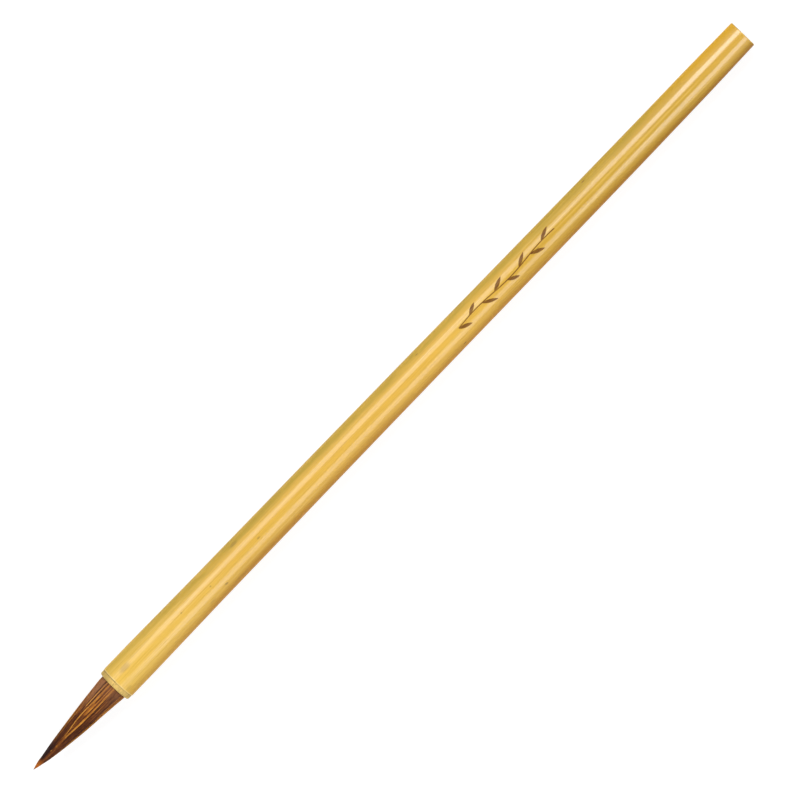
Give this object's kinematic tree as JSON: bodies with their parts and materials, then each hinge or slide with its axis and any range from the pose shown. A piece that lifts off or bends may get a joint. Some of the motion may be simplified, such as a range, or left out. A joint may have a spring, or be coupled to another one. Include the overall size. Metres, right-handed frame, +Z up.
{
  "type": "calligraphy brush",
  "caption": "Chinese calligraphy brush: a slim, slightly tapered bamboo handle holding a pointed tuft of brown hair that flexes, for writing and painting with ink.",
  "frame": {"origin": "on the brush's axis, half way along it, where the fingers or a brush rest hold it", "axes": "+X along the brush from the tip of the tuft to the top end of the handle, +Y across it, +Z up"},
  "size_m": [0.25, 0.0094, 0.0094],
  "materials": {
    "bamboo": "glossy natural skin, bare and fibrous at the rim and the cut ends",
    "glue": "dried, slightly glossy",
    "resin": "glassy amber rosin",
    "thread": "tightly wound cotton",
    "core_hair": "soft sheen, orange brown towards the point",
    "lining_hair": "soft sheen",
    "cover_hair": "soft sheen along the hairs, with amber strands"
  },
  "bodies": {
    "handle": {"bamboo_handle": "bamboo", "socket_glue": "glue", "root_resin": "resin", "binding_thread": "thread", "core_hair_root": "core_hair", "lining_hair_root": "lining_hair", "cover_hair_root": "cover_hair"},
    "belly": {"core_hair_belly": "core_hair", "lining_hair_belly": "lining_hair", "cover_hair_belly": "cover_hair"},
    "point": {"core_hair_point": "core_hair", "cover_hair_point": "cover_hair"}
  },
  "joints": [
    {"name": "belly_bend", "type": "hinge", "parent": "handle", "child": "belly", "pos_m": [-0.099, 0, 0], "axis": [0, 0, 1], "range_deg": [-25, 25], "stiffness_Nm_per_rad": 0.004},
    {"name": "point_bend", "type": "hinge", "parent": "belly", "child": "point", "pos_m": [-0.112, 0, 0], "axis": [0, 0, 1], "range_deg": [-40, 40], "stiffness_Nm_per_rad": 0.0006}
  ]
}
